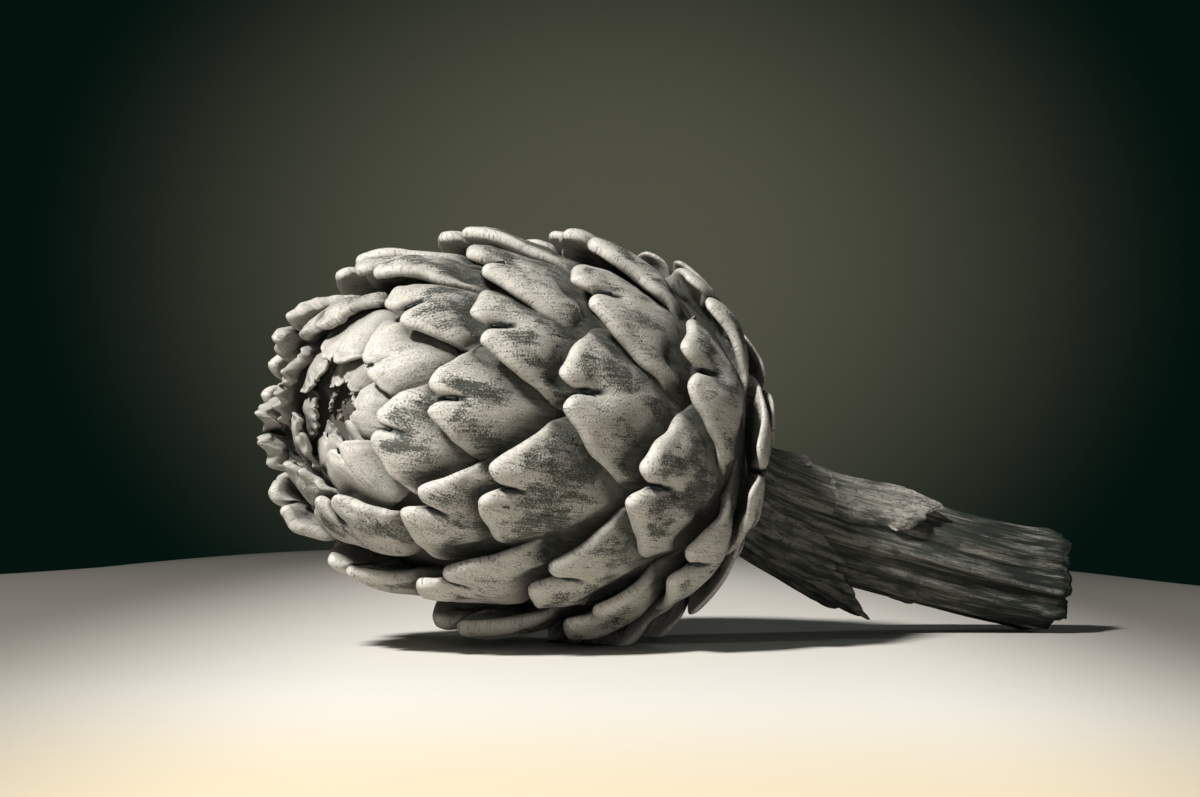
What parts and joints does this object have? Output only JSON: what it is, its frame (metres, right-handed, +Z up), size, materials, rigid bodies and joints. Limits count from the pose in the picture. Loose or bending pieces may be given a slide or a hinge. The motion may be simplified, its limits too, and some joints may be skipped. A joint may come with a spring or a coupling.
{
  "type": "artichoke",
  "caption": "Whole globe artichoke lying on its side, a plump bud of thick notched bracts with a length of ribbed cut stem.",
  "frame": {"origin": "on the surface that the artichoke lies on, under the middle of the whole vegetable's box", "axes": "+Z up from the surface, +X towards the stem's side, -Y towards the side where the bud's closed tip points"},
  "size_m": [0.2042, 0.1686, 0.0989],
  "materials": {
    "bracts": "matt waxy plant skin, warm grey, mottled and finely streaked",
    "stem": "dry fibrous plant stem, dull, darker grey"
  },
  "bodies": {
    "root": {"head": "bracts", "stem": "stem"}
  },
  "joints": []
}
